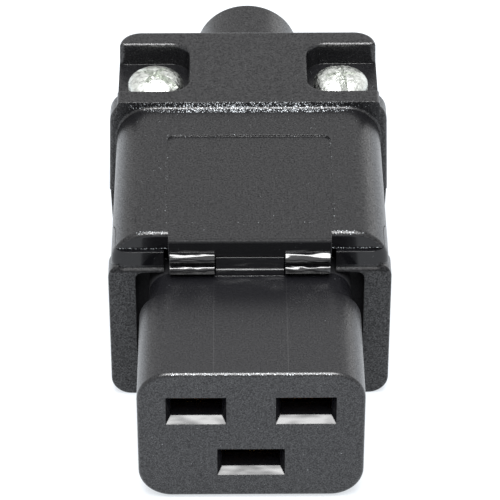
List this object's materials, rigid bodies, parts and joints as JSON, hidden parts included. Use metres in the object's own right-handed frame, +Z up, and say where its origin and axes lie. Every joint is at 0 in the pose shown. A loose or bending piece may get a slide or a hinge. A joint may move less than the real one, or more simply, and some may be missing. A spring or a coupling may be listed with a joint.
{
  "type": "c19 power connector",
  "caption": "Rewireable three-pole appliance connector: a rounded socket nose in a black moulded housing with a screwed cover and a round cord outlet.",
  "frame": {"origin": "bottom centre of the whole connector as it lies on its lower shell", "axes": "+X is the width, +Y runs from the mating face to the cord outlet, +Z is up through the cover"},
  "size_m": [0.0364, 0.0816, 0.0255],
  "materials": {
    "housing_black": "spark-eroded grain, glass-filled nylon",
    "insert_black": "fine satin, moulded",
    "brass": "bright rolled strip",
    "zinc_screw": "bright zinc plate",
    "zinc_plate": "bright zinc plate",
    "clamp_nylon": "satin nylon",
    "grommet_rubber": "matt"
  },
  "bodies": {
    "root": {"lower_shell": "housing_black", "upper_cover": "housing_black", "socket_insert": "insert_black", "contact_line": "brass", "contact_neutral": "brass", "contact_earth": "brass", "saddle_plate_line": "zinc_plate", "saddle_plate_neutral": "zinc_plate", "saddle_plate_earth": "zinc_plate", "terminal_screw_line": "zinc_screw", "terminal_screw_neutral": "zinc_screw", "terminal_screw_earth": "zinc_screw", "housing_screw_left": "zinc_screw", "housing_screw_right": "zinc_screw", "housing_nut_left": "zinc_plate", "housing_nut_right": "zinc_plate", "cord_clamp": "clamp_nylon", "clamp_screw_left": "zinc_screw", "clamp_screw_right": "zinc_screw", "cord_grommet": "grommet_rubber"}
  },
  "joints": []
}
